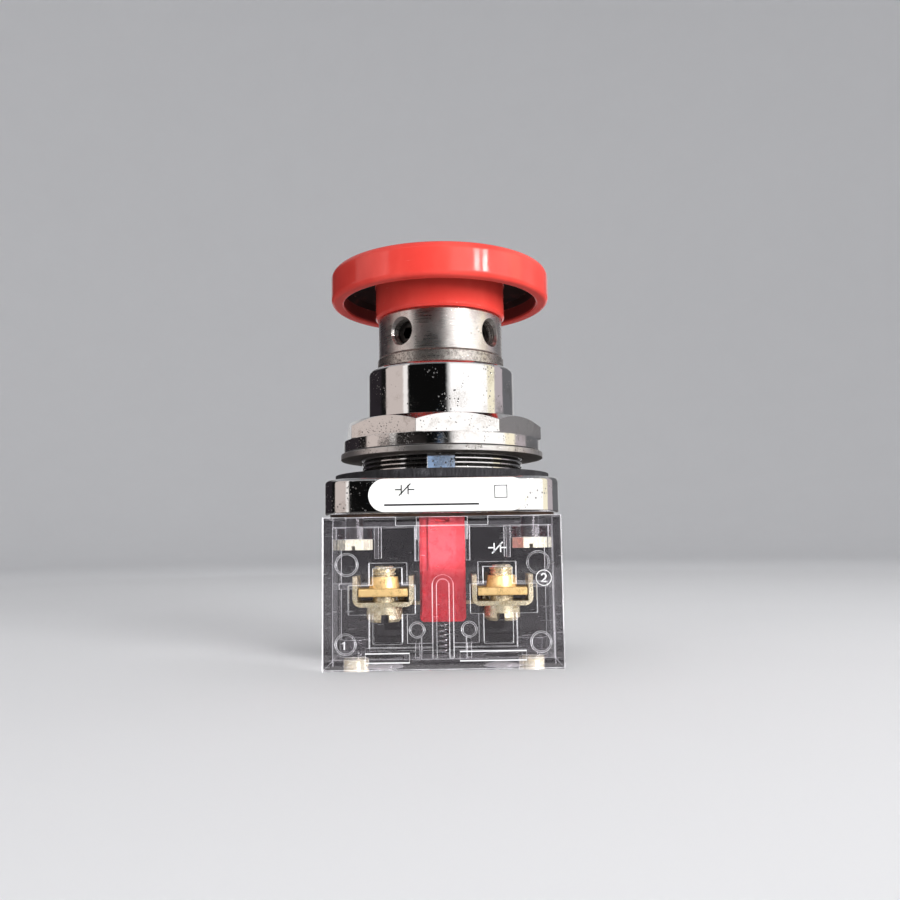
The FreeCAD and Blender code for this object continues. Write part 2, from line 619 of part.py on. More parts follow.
def fixed_contact(side):
    """Brass terminal bar with an extruded threaded boss, and a strip back to the fixed contact."""
    bar = box((TERM_X - BAR_HALF, TERM_X + BAR_HALF), (-16.3, -9.9), BAR_Z)
    fronts = [e for e in bar.Edges if abs(e.CenterOfMass.y + 16.3) < 0.01 and e.BoundBox.XLength > 1]
    bar = bar.makeFillet(0.25, fronts)
    boss = Part.makeCone(BOSS_R, BOSS_R - 0.35, BOSS_TOP - BAR_Z[1], V(TERM_X, TERM_Y, BAR_Z[1]))
    strip = box((6.0, 9.4), (-10.5, BLOCK_REAR - 0.8), (BAR_Z[0], BAR_Z[0] + 1.0))
    piece = fuse([bar, boss, strip]).cut(cyl(SCREW_R + RUN, (-23, -17), TERM_X, TERM_Y))
    return piece if side > 0 else mirrored(piece)


def fixed_tips():
    return Part.makeCompound([cyl(1.2, (-21.86, BAR_Z[0]), x, CONTACT_Y) for x in (-TIP_X, TIP_X)])


def saddle_clamp(side):
    """U-shaped wire clamp that rises with the screw, guided by its ears around the bar."""
    y = (-16.2, -9.8)
    outer = box((TERM_X - SADDLE_HALF, TERM_X + SADDLE_HALF), y, (SADDLE_FLOOR[0], SADDLE_TOP))
    lows = [e for e in outer.Edges if abs(e.CenterOfMass.z - SADDLE_FLOOR[0]) < 0.01 and e.BoundBox.YLength > 1]
    outer = outer.makeFillet(1.4, lows)
    inner = box((TERM_X - SADDLE_HALF + SADDLE_EAR, TERM_X + SADDLE_HALF - SADDLE_EAR), (y[0] - 1, y[1] + 1),
                (SADDLE_FLOOR[1], SADDLE_TOP + 1))
    piece = outer.cut(inner).cut(cyl(SCREW_R + 0.2, (-24, -21), TERM_X, TERM_Y))
    return piece if side > 0 else mirrored(piece)


def terminal_screw(side, slot_turn):
    """Slotted cheese-head clamp screw, driven from the block's rear face."""
    low, high = SCREW_HEAD
    head = turned([(0, low), (SCREW_HEAD_R - 0.6, low), (SCREW_HEAD_R, low + 0.55), (SCREW_HEAD_R, high), (0, high)])
    shank_low = cyl(SCREW_R, (high, BAR_Z[0] - 0.1))
    threads = [(0, BAR_Z[0] - 0.1)]
    z = BAR_Z[0] - 0.1
    while z + 0.7 < SCREW_TIP:
        threads += [(SCREW_R - 0.3, z), (SCREW_R, z + 0.25), (SCREW_R, z + 0.4), (SCREW_R - 0.3, z + 0.65)]
        z += 0.7
    threads += [(SCREW_R - 0.5, SCREW_TIP), (0, SCREW_TIP)]
    screw = fuse([head, shank_low, turned(threads)])
    slot = spin(box((-0.65, 0.65), (-5, 5), (low - 1, low + 1.3)), slot_turn)
    return moved(screw.cut(slot), side * TERM_X, TERM_Y)


# ---- all nodes ----------------------------------------------------------------------------------
NODES = {
    "mushroom_head": mushroom_head(),
    "head_insert": head_insert(),
    "head_collar": head_collar(),
    "collar_set_screws": collar_set_screws(),
    "guide_sleeve": guide_sleeve(),
    "operator_stem": operator_stem(),
    "retaining_ring": retaining_ring(),
    "pusher_bar": pusher_bar(),
    "pusher_nut": pusher_nut(),
    "operator_body": operator_body(),
    "sleeve_seal": sleeve_seal(),
    "detent_balls": detent_balls(),
    "detent_springs": detent_springs(),
    "detent_plugs": detent_plugs(),
    "ring_nut": ring_nut(),
    "thrust_washer": thrust_washer(),
    "panel_gasket": panel_gasket(),
    "rating_label": rating_label(),
    "base_plate": base_plate(),
    "block_base": block_base(),
    "block_cover": block_cover(),
    "mounting_screws": mounting_screws(),
    "tandem_inserts": tandem_inserts(),
    "contact_plunger": contact_plunger(),
    "plunger_spring": plunger_spring(),
    "contact_bridge": contact_bridge(),
    "bridge_tips": bridge_tips(),
    "bridge_spring": bridge_spring(),
    "fixed_contact_left": fixed_contact(-1),
    "fixed_contact_right": fixed_contact(1),
    "fixed_tips": fixed_tips(),
    "saddle_clamp_left": saddle_clamp(-1),
    "saddle_clamp_right": saddle_clamp(1),
    "terminal_screw_left": terminal_screw(-1, 6),
    "terminal_screw_right": terminal_screw(1, -8),
}

os.makedirs("parts", exist_ok=True)
for name, shape in NODES.items():
    shape.exportStep(f"parts/{name}.step")
    print(f"{name}: {len(shape.Solids)} solid(s), {shape.Volume:.2f} mm3, valid {shape.isValid()}")
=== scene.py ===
"""Looks of the emergency stop button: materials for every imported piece, printed and moulded marks,
and a plain studio. Everything is in metres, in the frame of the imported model."""

import json
import math

import bmesh
import bpy
from mathutils import Matrix, Vector


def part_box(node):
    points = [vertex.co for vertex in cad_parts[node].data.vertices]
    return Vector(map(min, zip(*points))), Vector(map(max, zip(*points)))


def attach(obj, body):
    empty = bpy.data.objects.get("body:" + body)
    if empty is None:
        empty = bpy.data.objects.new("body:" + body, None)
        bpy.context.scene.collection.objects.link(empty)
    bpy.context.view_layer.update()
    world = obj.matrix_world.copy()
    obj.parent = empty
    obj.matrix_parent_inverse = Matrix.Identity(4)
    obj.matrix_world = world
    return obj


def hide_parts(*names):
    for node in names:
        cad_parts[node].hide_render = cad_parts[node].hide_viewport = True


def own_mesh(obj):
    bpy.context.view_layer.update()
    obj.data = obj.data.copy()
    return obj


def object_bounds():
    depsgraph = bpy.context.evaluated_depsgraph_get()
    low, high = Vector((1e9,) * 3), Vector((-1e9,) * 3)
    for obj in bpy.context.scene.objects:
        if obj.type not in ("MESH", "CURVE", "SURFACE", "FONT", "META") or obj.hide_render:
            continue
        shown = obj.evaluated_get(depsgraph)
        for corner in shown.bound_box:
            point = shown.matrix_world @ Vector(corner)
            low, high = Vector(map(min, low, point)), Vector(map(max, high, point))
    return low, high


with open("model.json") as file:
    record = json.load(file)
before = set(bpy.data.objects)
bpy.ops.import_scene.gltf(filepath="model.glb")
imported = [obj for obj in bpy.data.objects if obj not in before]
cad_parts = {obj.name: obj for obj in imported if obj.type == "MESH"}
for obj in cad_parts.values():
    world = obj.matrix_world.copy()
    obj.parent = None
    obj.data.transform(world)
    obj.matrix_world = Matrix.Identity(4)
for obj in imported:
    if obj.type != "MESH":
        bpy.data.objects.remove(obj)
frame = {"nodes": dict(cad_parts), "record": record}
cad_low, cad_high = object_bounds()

MM = 0.001
nodes = frame["nodes"]

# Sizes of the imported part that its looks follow
BARREL_R = 15.0 * MM           # crest of the barrel's thread
BLOCK_WALL = 1.6 * MM          # of the clear shell
HEX_HEAD_HIGH = 1.8 * MM       # of a mounting screw


# ---- materials: short calls for the nodes that feed one Principled shader -------------------------
class Surface:
    """A Principled material. Sizes of its patterns are in millimetres of the object."""

    def __init__(self, name, colour, rough, **constants):
        self.mat = bpy.data.materials.new(name)
        self.mat.use_nodes = True
        self.tree = self.mat.node_tree
        self.shader = self.tree.nodes["Principled BSDF"]
        self.shader.inputs["Base Color"].default_value = (*colour, 1)
        self.shader.inputs["Roughness"].default_value = rough
        for socket, value in constants.items():
            self.shader.inputs[socket.replace("_", " ")].default_value = value
        self.place = self.add("ShaderNodeTexCoord").outputs["Object"]
        self.normal = self.add("ShaderNodeNewGeometry").outputs["Normal"]

    def add(self, kind, **settings):
        node = self.tree.nodes.new(kind)
        for name, value in settings.items():
            setattr(node, name, value)
        return node

    def feed(self, source, socket):
        """Links a socket, or sets a number or a colour."""
        if isinstance(source, bpy.types.NodeSocket):
            self.tree.links.new(source, socket)
        elif isinstance(source, (tuple, list)):
            socket.default_value = (*source, 1) if len(socket.default_value) > len(source) else source
        else:
            socket.default_value = source

    def stretched(self, stretch):
        """The object's coordinates, with the pattern made longer by stretch along each axis."""
        if stretch == (1, 1, 1):
            return self.place
        mapping = self.add("ShaderNodeMapping")
        self.feed(self.place, mapping.inputs["Vector"])
        mapping.inputs["Scale"].default_value = [1 / s for s in stretch]
        return mapping.outputs["Vector"]

    def noise(self, size, detail=3.0, stretch=(1, 1, 1)):
        """Cloudy noise from 0 to 1 with blotches of about that size."""
        node = self.add("ShaderNodeTexNoise")
        self.feed(self.stretched(stretch), node.inputs["Vector"])
        node.inputs["Scale"].default_value = 1 / (size * MM)
        node.inputs["Detail"].default_value = detail
        return node.outputs["Fac"]

    def cells(self, size):
        """Distance from the nearest of scattered points that lie about size apart, 0 at the point."""
        node = self.add("ShaderNodeTexVoronoi")
        self.feed(self.place, node.inputs["Vector"])
        node.inputs["Scale"].default_value = 1 / (size * MM)
        return node.outputs["Distance"]

    def component(self, vector, name):
        split = self.add("ShaderNodeSeparateXYZ")
        self.feed(vector, split.inputs["Vector"])
        return split.outputs[name]

    def axis(self, name):
        """One coordinate of the object."""
        return self.component(self.place, name)

    def upward(self, vector):
        return self.component(vector, "Z")

    def across(self):
        """Distance from the Z axis."""
        return self.math("SQRT", self.math("ADD", self.math("POWER", self.axis("X"), 2),
                                           self.math("POWER", self.axis("Y"), 2)))

    def math(self, operation, a, b=0.0):
        node = self.add("ShaderNodeMath", operation=operation)
        self.feed(a, node.inputs[0])
        self.feed(b, node.inputs[1])
        return node.outputs["Value"]

    def times(self, *factors):
        product = factors[0]
        for factor in factors[1:]:
            product = self.math("MULTIPLY", product, factor)
        return product

    def plus(self, base, mask, amount):
        """base, with amount added where the mask is 1."""
        return self.math("ADD", base, self.times(mask, amount))

    def ramp(self, value, low, high, start=0.0, end=1.0):
        """Start at low, end at high, and smooth between them. Low may be the larger of the two."""
        node = self.add("ShaderNodeMapRange", interpolation_type="SMOOTHSTEP")
        for socket, source in zip(("Value", "From Min", "From Max", "To Min", "To Max"),
                                  (value, low, high, start, end)):
            self.feed(source, node.inputs[socket])
        return node.outputs["Result"]

    def blend(self, factor, a, b):
        """Colour a where factor is 0, b where it is 1."""
        node = self.add("ShaderNodeMix", data_type="RGBA")
        self.feed(factor, node.inputs["Factor"])
        self.feed(a, node.inputs[6])
        self.feed(b, node.inputs[7])
        return node.outputs[2]

    def vector(self, operation, a, b, output="Vector"):
        node = self.add("ShaderNodeVectorMath", operation=operation)
        self.feed(a, node.inputs[0])
        self.feed(b, node.inputs[1])
        return node.outputs[output]

    def edges(self, radius):
        """A mask, 1 along sharp edges out to about radius, and the normal that rounds them."""
        bevel = self.add("ShaderNodeBevel", samples=6)
        bevel.inputs["Radius"].default_value = radius * MM
        rounded = bevel.outputs["Normal"]
        return self.ramp(self.vector("DOT_PRODUCT", rounded, self.normal, "Value"), 0.99, 0.8), rounded

    def colour(self, source):
        self.feed(source, self.shader.inputs["Base Color"])

    def rough(self, source):
        self.feed(source, self.shader.inputs["Roughness"])

    def bump(self, height, depth, below=None):
        """Adds relief of about depth millimetres, on top of the relief already there."""
        node = self.add("ShaderNodeBump")
        node.inputs["Strength"].default_value = 1.0
        node.inputs["Distance"].default_value = depth * MM
        self.feed(height, node.inputs["Height"])
        if below is not None:
            self.feed(below, node.inputs["Normal"])
        self.feed(node.outputs["Normal"], self.shader.inputs["Normal"])
        return node.outputs["Normal"]


ROUND_LINES = (60, 60, 1)      # stretch of a pattern into lines that run round the Z axis
UPRIGHT_LINES = (1, 1, 60)     # and into lines along Z
NEAR_BLACK = (0.10, 0.095, 0.095)
THREAD_ROOT_SHADE = (0.030, 0.026, 0.024)


def plated(name, tint, tarnish, rough, cloud=2.5, tarnish_share=0.5, lines=None, line_size=0.12,
           line_depth=0.004, pits=None, pit_colour=(0.05, 0.045, 0.04), pit_share=0.5,
           painted_shade_below=None, dark_over=None, metallic=1.0, roots=None):
    """Metal with cloudy tarnish, fine machining lines, dark pits and brighter worn edges.
    rough: roughness of the cleanest and of the dullest places; cloud: size of the tarnish clouds;
    pits: how far apart the pits are; painted_shade_below: colour of the painted shade on faces that look
    down;
    dark_over: height over which the metal's colour is near black;
    metallic: under 1 where an oxide film scatters the light;
    roots: crest radius, lower end and upper end of a thread about Z whose roots take painted shade."""
    s = Surface(name, tint, rough[0], Metallic=metallic)
    dull = s.ramp(s.noise(cloud, detail=6), 0.62 - 0.35 * tarnish_share, 0.78 - 0.25 * tarnish_share)
    fine = s.noise(0.25, detail=2)
    colour = s.blend(s.times(dull, s.ramp(fine, 0.25, 0.7)), tint, tarnish)
    rough_map = s.ramp(s.plus(dull, fine, 0.4), 0.1, 1.2, *rough)
    worn, rounded = s.edges(0.12)
    relief = s.bump(s.noise(0.9, detail=4), 0.006, rounded)
    if lines:
        scratches = s.noise(line_size, detail=2, stretch=lines)
        rough_map = s.math("ADD", rough_map, s.ramp(scratches, 0.35, 0.75, -0.04, 0.07))
        relief = s.bump(scratches, line_depth, relief)
    if pits:
        patches = s.ramp(s.noise(pits * 7, detail=2), 0.72 - 0.4 * pit_share, 0.80 - 0.4 * pit_share)
        pit = s.times(s.ramp(s.cells(pits), 0.26, 0.12), patches)
        colour = s.blend(pit, colour, pit_colour)
        rough_map = s.plus(rough_map, pit, 0.45)
        s.bump(pit, -0.03, relief)
    colour = s.blend(s.times(worn, 0.6), colour, [min(1.0, c * 1.15) for c in tint])
    # Painted shade: faces that look down take a darker colour, and are rougher.
    if painted_shade_below:
        below = s.ramp(s.upward(s.normal), -0.5, -0.8)
        colour = s.blend(below, colour, painted_shade_below)
        rough_map = s.plus(rough_map, below, 0.25)
    # Above dark_over the colour is near black, and rougher.
    if dark_over is not None:
        over = s.ramp(s.axis("Z"), dark_over, dark_over + 0.1 * MM)
        colour = s.blend(over, colour, NEAR_BLACK)
        rough_map = s.plus(rough_map, over, 0.4)
    # Painted shade: the thread's roots go dark in patches, and rougher.
    if roots:
        crest, bottom, top = roots
        across, height = s.across(), s.axis("Z")
        inside = s.times(s.ramp(across, crest - 0.16 * MM, crest - 0.30 * MM),
                         s.ramp(across, crest - 0.60 * MM, crest - 0.50 * MM))
        along = s.times(s.ramp(height, bottom - 0.1 * MM, bottom), s.ramp(height, top + 0.1 * MM, top))
        root_shade = s.times(inside, along, s.ramp(fine, 0.25, 0.5, 0.6, 0.95))
        colour = s.blend(root_shade, colour, THREAD_ROOT_SHADE)
        rough_map = s.plus(rough_map, root_shade, 0.4)
    s.colour(colour)
    s.rough(rough_map)
    return s.mat


def red_moulding():
    """Glossy moulded red: faint flow marks and orange peel, small pale scuffs where it gets knocked,
    and near-black painted shade, rougher too, in the recess behind the rim."""
    s = Surface("red_head", (0.70, 0.055, 0.042), 0.2, IOR=1.53, Specular_IOR_Level=0.5)
    flow = s.noise(7, detail=3, stretch=(1, 1, 1.8))
    mottle = s.noise(0.8, detail=4)
    base = s.blend(s.ramp(flow, 0.3, 0.72), (0.70, 0.052, 0.040), (0.78, 0.075, 0.058))
    base = s.blend(s.ramp(mottle, 0.62, 0.8, 0, 0.25), base, (0.52, 0.030, 0.025))
    chips = s.times(s.edges(0.35)[0], s.ramp(s.noise(0.9, detail=5), 0.56, 0.66))
    scuffs = s.times(s.ramp(s.noise(0.5, detail=3, stretch=(9, 9, 1)), 0.70, 0.78),
                     s.ramp(s.noise(6, detail=1), 0.52, 0.62))
    base = s.blend(s.times(scuffs, 0.35), base, (0.78, 0.17, 0.14))

    edge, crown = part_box("mushroom_head")[1].x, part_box("mushroom_head")[1].z
    across = s.across()
    behind_rim = s.ramp(across, edge - 2.1 * MM, edge - 2.5 * MM)
    outside_hub = s.ramp(across, edge - 8.36 * MM, edge - 8.20 * MM)
    up_in_recess = s.ramp(s.axis("Z"), crown - 7.1 * MM, crown - 6.5 * MM)
    off_crown = s.ramp(s.upward(s.normal), 0.5, 0.2)
    # Painted shade: near black and rough in the recess behind the rim, on faces off the crown.
    grime_and_painted_shade = s.times(behind_rim, outside_hub, up_in_recess, off_crown,
                    s.ramp(s.noise(2.5, detail=5), 0.1, 0.5, 0.9, 0.99))
    base = s.blend(grime_and_painted_shade, base, (0.006, 0.002, 0.002))

    s.colour(s.blend(s.times(chips, 0.75), base, (0.82, 0.30, 0.26)))
    wear = s.plus(s.plus(s.times(scuffs, 0.22), chips, 0.3), grime_and_painted_shade, 0.75)
    s.rough(s.math("ADD", s.ramp(flow, 0.3, 0.7, 0.10, 0.16), wear))
    peel = s.bump(s.noise(1.6, detail=1), 0.010)
    peel = s.bump(s.noise(0.22, detail=2), 0.0025, peel)
    s.bump(s.plus(chips, scuffs, 0.3), -0.05, peel)
    return s.mat


def rubber(name, colour, dusty):
    """Dark rubber with fine upright moulding marks and a trace of dust."""
    s = Surface(name, colour, 0.62, Specular_IOR_Level=0.3)
    ribs = s.ramp(s.noise(0.30, detail=4, stretch=(1, 1, 6)), 0.3, 0.7)
    dust = s.times(s.ramp(s.noise(1.3, detail=6), 0.48, 0.72), s.ramp(s.noise(0.18, detail=2), 0.4, 0.7))
    ribbed = s.blend(ribs, [c * 0.75 for c in colour], [c * 1.8 for c in colour])
    s.colour(s.blend(s.times(dust, 0.6), ribbed, dusty))
    s.rough(s.ramp(ribs, 0.0, 1.0, 0.60, 0.85))
    s.bump(s.noise(0.3, detail=4), 0.02, s.bump(ribs, 0.03))
    return s.mat


def label_film():
    """White printed film: a little glossy, yellowed in places and grubby along its edge."""
    s = Surface("label", (0.86, 0.86, 0.84), 0.34, Coat_Weight=0.2, Coat_Roughness=0.2)
    low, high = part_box("rating_label")
    middle, half_high = (low.z + high.z) / 2, (high.z - low.z) / 2
    off_middle = s.math("ABSOLUTE", s.math("SUBTRACT", s.axis("Z"), middle))
    rim = s.ramp(off_middle, half_high - 0.9 * MM, half_high)
    end = s.ramp(s.axis("X"), high.x - 2.6 * MM, high.x - 0.6 * MM)
    grime_and_painted_shade = s.noise(1.1, detail=6)
    stained = s.times(s.math("MAXIMUM", end, s.times(rim, 0.35)), s.ramp(grime_and_painted_shade, 0.42, 0.62))
    base = s.blend(s.ramp(s.noise(4, detail=2), 0.4, 0.75), (0.88, 0.88, 0.87), (0.84, 0.83, 0.78))
    base = s.blend(s.times(stained, 0.75), base, (0.50, 0.42, 0.22))
    specks = s.times(s.ramp(s.cells(0.9), 0.09, 0.04), s.ramp(s.noise(3), 0.5, 0.6))
    s.colour(s.blend(s.times(specks, 0.6), base, (0.25, 0.22, 0.18)))
    s.rough(s.ramp(grime_and_painted_shade, 0.3, 0.7, 0.28, 0.42))
    s.bump(s.noise(2.2, detail=2), 0.02)
    return s.mat


def laminate():
    """Brown phenolic paper board with flat fibres."""
    s = Surface("phenolic", (0.04, 0.022, 0.015), 0.55)
    fibres = s.noise(0.4, detail=5, stretch=(5, 1.5, 1))
    s.colour(s.blend(s.ramp(fibres, 0.3, 0.7), (0.025, 0.014, 0.010), (0.065, 0.036, 0.024)))
    s.rough(s.ramp(fibres, 0.3, 0.7, 0.45, 0.68))
    s.bump(fibres, 0.02)
    return s.mat


EDGE_GLOW = 2.0        # strength of the painted highlight that glows along the clear moulding's edges


def clear_moulding(name, box=None):
    """Clear polycarbonate, thin walled, with faint haze and hairline scratches. The coat gives its gloss.
    The moulded edges are rounded, and glow with a painted highlight, the upright ones most.
    Given the box of a shell that is open in front, its rear wall takes a dark painted shade, near black where
    it meets the sides and floor."""
    s = Surface(name, (0.84, 0.84, 0.84), 0.03, IOR=1.06, Transmission_Weight=1.0, Coat_Weight=1.0,
                Coat_Roughness=0.04, Coat_IOR=1.58)
    haze = s.noise(2.2, detail=4)
    hair = s.times(s.ramp(s.noise(0.18, detail=1, stretch=(14, 1, 2)), 0.66, 0.74),
                   s.ramp(s.noise(5, detail=1), 0.45, 0.6))
    dust = s.times(s.ramp(s.cells(0.8), 0.10, 0.04), s.ramp(s.noise(2.5), 0.5, 0.62))
    marks = s.math("MAXIMUM", hair, dust)
    body = s.blend(haze, (0.81, 0.79, 0.81), (0.89, 0.87, 0.90))
    if box:
        low, high = box
        side_x, below_z, rear_y = high.x - BLOCK_WALL, low.z + BLOCK_WALL, high.y - BLOCK_WALL
        rear = s.ramp(s.axis("Y"), rear_y - 0.8 * MM, rear_y - 0.2 * MM)
        side = s.ramp(s.math("ABSOLUTE", s.axis("X")), side_x - 0.1 * MM, side_x)
        below = s.ramp(s.axis("Z"), below_z + 0.1 * MM, below_z)
        # Painted shade: the rear wall is coloured dark, near black along the sides and floor.
        painted_shade_rear = s.blend(haze, (0.060, 0.055, 0.058), (0.090, 0.081, 0.085))
        painted_shade_rear = s.blend(s.math("MAXIMUM", side, below), painted_shade_rear, (0.016, 0.014, 0.015))
        body = s.blend(rear, body, painted_shade_rear)
    s.colour(s.blend(s.times(marks, 0.35), body, (0.95, 0.95, 0.95)))
    s.rough(s.plus(s.ramp(haze, 0.45, 0.8, 0.015, 0.06), marks, 0.3))
    moulded, rounded = s.edges(0.20)
    relief = s.bump(hair, -0.01, s.bump(s.noise(6, detail=2), 0.02, rounded))
    s.feed(relief, s.shader.inputs["Coat Normal"])
    # Painted highlight: the rounded edges glow in patches, the upright ones most.
    rise = s.math("ABSOLUTE", s.upward(s.vector("SUBTRACT", rounded, s.normal)))
    painted_edge_glow = s.times(moulded, s.ramp(rise, 0.05, 0.25, 1.0, 0.45))
    patchy = s.ramp(s.noise(3.5, detail=3, stretch=(1, 1, 3)), 0.3, 0.6, 0.4, 1.0)
    s.feed(s.blend(s.times(painted_edge_glow, patchy), (0, 0, 0), (0.95, 0.95, 0.97)),
           s.shader.inputs["Emission Color"])
    s.shader.inputs["Emission Strength"].default_value = EDGE_GLOW
    s.mat.cycles.emission_sampling = "NONE"
    return s.mat


def frosted_mark():
    """Raised marks on the clear cover, which scatter light and look white."""
    s = Surface("frosted_marks", (0.86, 0.86, 0.87), 0.45, IOR=1.58)
    s.colour(s.blend(s.noise(0.3, detail=3), (0.70, 0.70, 0.72), (0.93, 0.93, 0.93)))
    s.rough(s.ramp(s.noise(0.4, detail=3), 0.3, 0.7, 0.3, 0.6))
    s.bump(s.noise(0.15, detail=2), 0.01)
    return s.mat


def red_translucent():
    """Red moulding that lets some light through: pink-red above, deeper at its foot, with painted shade at
    its sides.
    """
    s = Surface("red_plunger", (0.90, 0.12, 0.16), 0.28, IOR=1.5, Subsurface_Weight=0.35,
                Subsurface_Scale=0.002, Coat_Weight=0.3, Coat_Roughness=0.15)
    low_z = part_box("contact_plunger")[0].z
    foot = s.ramp(s.axis("Z"), low_z + 7.0 * MM, low_z + 11.0 * MM, 1, 0)
    # Painted shade: the plunger's sides are darker than its middle.
    painted_side_shade = s.ramp(s.math("ABSOLUTE", s.axis("X")), 1.9 * MM, 2.7 * MM, 0, 0.5)
    cloud = s.noise(1.8, detail=4)
    top = s.blend(cloud, (0.88, 0.10, 0.125), (0.94, 0.14, 0.165))
    top = s.blend(painted_side_shade, top, (0.50, 0.045, 0.06))
    s.colour(s.blend(foot, top, (0.36, 0.012, 0.022)))
    s.rough(s.ramp(cloud, 0.3, 0.7, 0.22, 0.4))
    s.bump(s.noise(0.5, detail=3), 0.006)
    return s.mat


def ink():
    """Black print, thin in places."""
    s = Surface("label_ink", (0.012, 0.012, 0.014), 0.5)
    thin = s.ramp(s.noise(0.25, detail=4), 0.55, 0.8)
    s.colour(s.blend(thin, (0.010, 0.010, 0.012), (0.10, 0.10, 0.10)))
    s.rough(s.ramp(s.noise(0.3), 0.3, 0.7, 0.4, 0.6))
    s.bump(s.noise(0.1), 0.003)
    return s.mat


MATERIALS = {
    "red_head": red_moulding(),
    "satin_nickel": plated(
        "satin_nickel", (0.90, 0.86, 0.83), (0.72, 0.66, 0.64), (0.29, 0.36), cloud=3.0,
        lines=ROUND_LINES, line_size=0.10, line_depth=0.003, pits=0.55, pit_share=0.35),
    "raw_nickel": plated(
        "raw_nickel", (0.70, 0.66, 0.62), (0.34, 0.30, 0.275), (0.30, 0.46), cloud=0.5, tarnish_share=0.6,
        lines=ROUND_LINES, line_size=0.14, line_depth=0.012, pits=0.3, pit_share=0.8),
    "dark_steel": plated(
        "dark_steel", (0.055, 0.052, 0.05), (0.022, 0.020, 0.018), (0.30, 0.5), cloud=0.8),
    "steel": plated(
        "steel", (0.58, 0.575, 0.57), (0.40, 0.39, 0.37), (0.20, 0.34), cloud=2.0, lines=ROUND_LINES),
    # The chrome barrel's thread takes painted shade in its roots.
    "chrome": plated(
        "chrome", (0.86, 0.855, 0.85), (0.66, 0.64, 0.62), (0.05, 0.12), cloud=4.0, tarnish_share=0.35,
        pits=0.62, pit_colour=(0.20, 0.19, 0.18),
        roots=(BARREL_R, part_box("panel_gasket")[1].z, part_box("ring_nut")[1].z)),
    "seal_rubber": rubber("seal_rubber", (0.018, 0.018, 0.019), (0.12, 0.12, 0.12)),
    "spring_steel": plated(
        "spring_steel", (0.60, 0.60, 0.61), (0.40, 0.39, 0.38), (0.18, 0.3), cloud=1.0),
    # The nut and the washer below take painted shade on faces that look down.
    "nut_plate": plated(
        "nut_plate", (0.88, 0.865, 0.85), (0.70, 0.67, 0.64), (0.09, 0.17), tarnish_share=0.35,
        pits=0.4, pit_share=0.6, pit_colour=(0.10, 0.09, 0.08), painted_shade_below=(0.10, 0.095, 0.09)),
    "washer_steel": plated(
        "washer_steel", (0.90, 0.875, 0.855), (0.60, 0.56, 0.53), (0.36, 0.48), cloud=1.6,
        lines=ROUND_LINES, line_size=0.08, pits=0.45, painted_shade_below=(0.50, 0.45, 0.42)),
    "gasket_rubber": rubber("gasket_rubber", (0.024, 0.023, 0.025), (0.15, 0.15, 0.16)),
    "label": label_film(),
    "phenolic": laminate(),
    "clear_plastic": clear_moulding("clear_plastic"),
    "red_plunger": red_translucent(),
    "brass": plated(
        "brass", (0.86, 0.76, 0.52), (0.52, 0.41, 0.22), (0.26, 0.42), cloud=1.0,
        lines=UPRIGHT_LINES, line_size=0.1, line_depth=0.002),
    "gold_brass": plated(
        "gold_brass", (0.96, 0.66, 0.30), (0.62, 0.40, 0.16), (0.36, 0.50), cloud=1.2, metallic=0.6,
        pits=0.5, pit_share=0.3),
    "nickel_brass": plated(
        "nickel_brass", (0.86, 0.76, 0.56), (0.46, 0.35, 0.20), (0.26, 0.42), cloud=1.0, metallic=0.75,
        tarnish_share=0.6, pits=0.4, pit_share=0.4),
    "silver": plated("silver", (0.86, 0.86, 0.85), (0.50, 0.48, 0.45), (0.18, 0.34), cloud=0.6),
}
OWN_MATERIALS = {           # nodes that differ a little from the others of their slot
    "block_base": clear_moulding("clear_plastic_shell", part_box("block_base")),
    "mounting_screws": plated(
        "hex_brass", (1.0, 0.97, 0.80), (0.80, 0.74, 0.52), (0.22, 0.32), cloud=1.0, metallic=0.45,
        lines=UPRIGHT_LINES, line_size=0.1, line_depth=0.002,
        dark_over=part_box("mounting_screws")[0].z + HEX_HEAD_HIGH),
    "tandem_inserts": plated(
        "ring_brass", (1.0, 0.95, 0.74), (0.84, 0.72, 0.46), (0.2, 0.3), cloud=1.0, metallic=0.4),
}
FROSTED = frosted_mark()
INK = ink()

for part in frame["record"]["subparts"]:
    obj = nodes[part["node"]]
    obj.data.materials.clear()
    obj.data.materials.append(OWN_MATERIALS.get(part["node"], MATERIALS[part["material_slot"]]))

for name in ("block_base", "block_cover"):
    nodes[name].visible_shadow = False     # clear plastic lets the studio light in to the contacts


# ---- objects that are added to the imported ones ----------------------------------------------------
def add_object(name, data):
    obj = bpy.data.objects.new(name, data)
    bpy.context.scene.collection.objects.link(obj)
    return obj


def mesh_object(name, bm, material):
    """Turns a bmesh into an object."""
    mesh = bpy.data.meshes.new(name)
    bm.to_mesh(mesh)
    bm.free()
    mesh.materials.append(material)
    return add_object(name, mesh)


# The return spring stands on the block's floor. It is a copy of the plunger spring, fixed to the operator;
# the plunger spring is hidden.
spring = add_object("return_spring", nodes["plunger_spring"].data.copy())
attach(spring, "operator")
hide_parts("plunger_spring")
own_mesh(spring)


# ---- marks: raised on the clear cover and printed on the label ------------------------------------
def piece(name, bm, material):
    """Makes an object from a bmesh, fixed to the operator."""
    bmesh.ops.recalc_face_normals(bm, faces=bm.faces)
    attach(mesh_object(name, bm, material), "operator")


